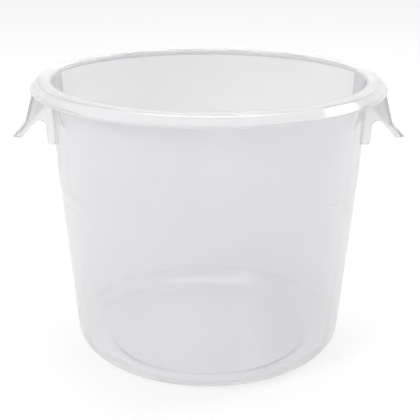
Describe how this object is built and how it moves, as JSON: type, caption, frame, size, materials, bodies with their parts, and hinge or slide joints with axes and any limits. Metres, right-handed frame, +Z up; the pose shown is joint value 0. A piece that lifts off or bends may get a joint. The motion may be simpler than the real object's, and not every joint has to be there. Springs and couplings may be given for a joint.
{
  "type": "dough proofing container",
  "caption": "Round tapered tub of milky polypropylene with a flanged rim and two moulded hand grips, for dough and dry goods",
  "frame": {"origin": "on the tub's axis, on the plane that the foot ring rests on", "axes": "+X towards the right-hand grip, the grips lie on -X and +X; +Z up out of the mouth; -Y towards the viewer"},
  "size_m": [0.2742, 0.2518, 0.201],
  "materials": {
    "base_plastic": "milky satin",
    "wall_plastic": "milky satin",
    "rim_plastic": "milky satin",
    "grip_plastic": "milky satin"
  },
  "bodies": {
    "root": {"base_panel": "base_plastic", "foot_ring": "base_plastic", "heel": "base_plastic", "lower_wall": "wall_plastic", "stacking_step": "wall_plastic", "upper_wall": "wall_plastic", "rim_crest": "rim_plastic", "rim_skirt": "rim_plastic", "rim_lip": "rim_plastic", "left_grip": "grip_plastic", "left_front_web": "grip_plastic", "left_rear_web": "grip_plastic", "right_grip": "grip_plastic", "right_front_web": "grip_plastic", "right_rear_web": "grip_plastic"}
  },
  "joints": []
}
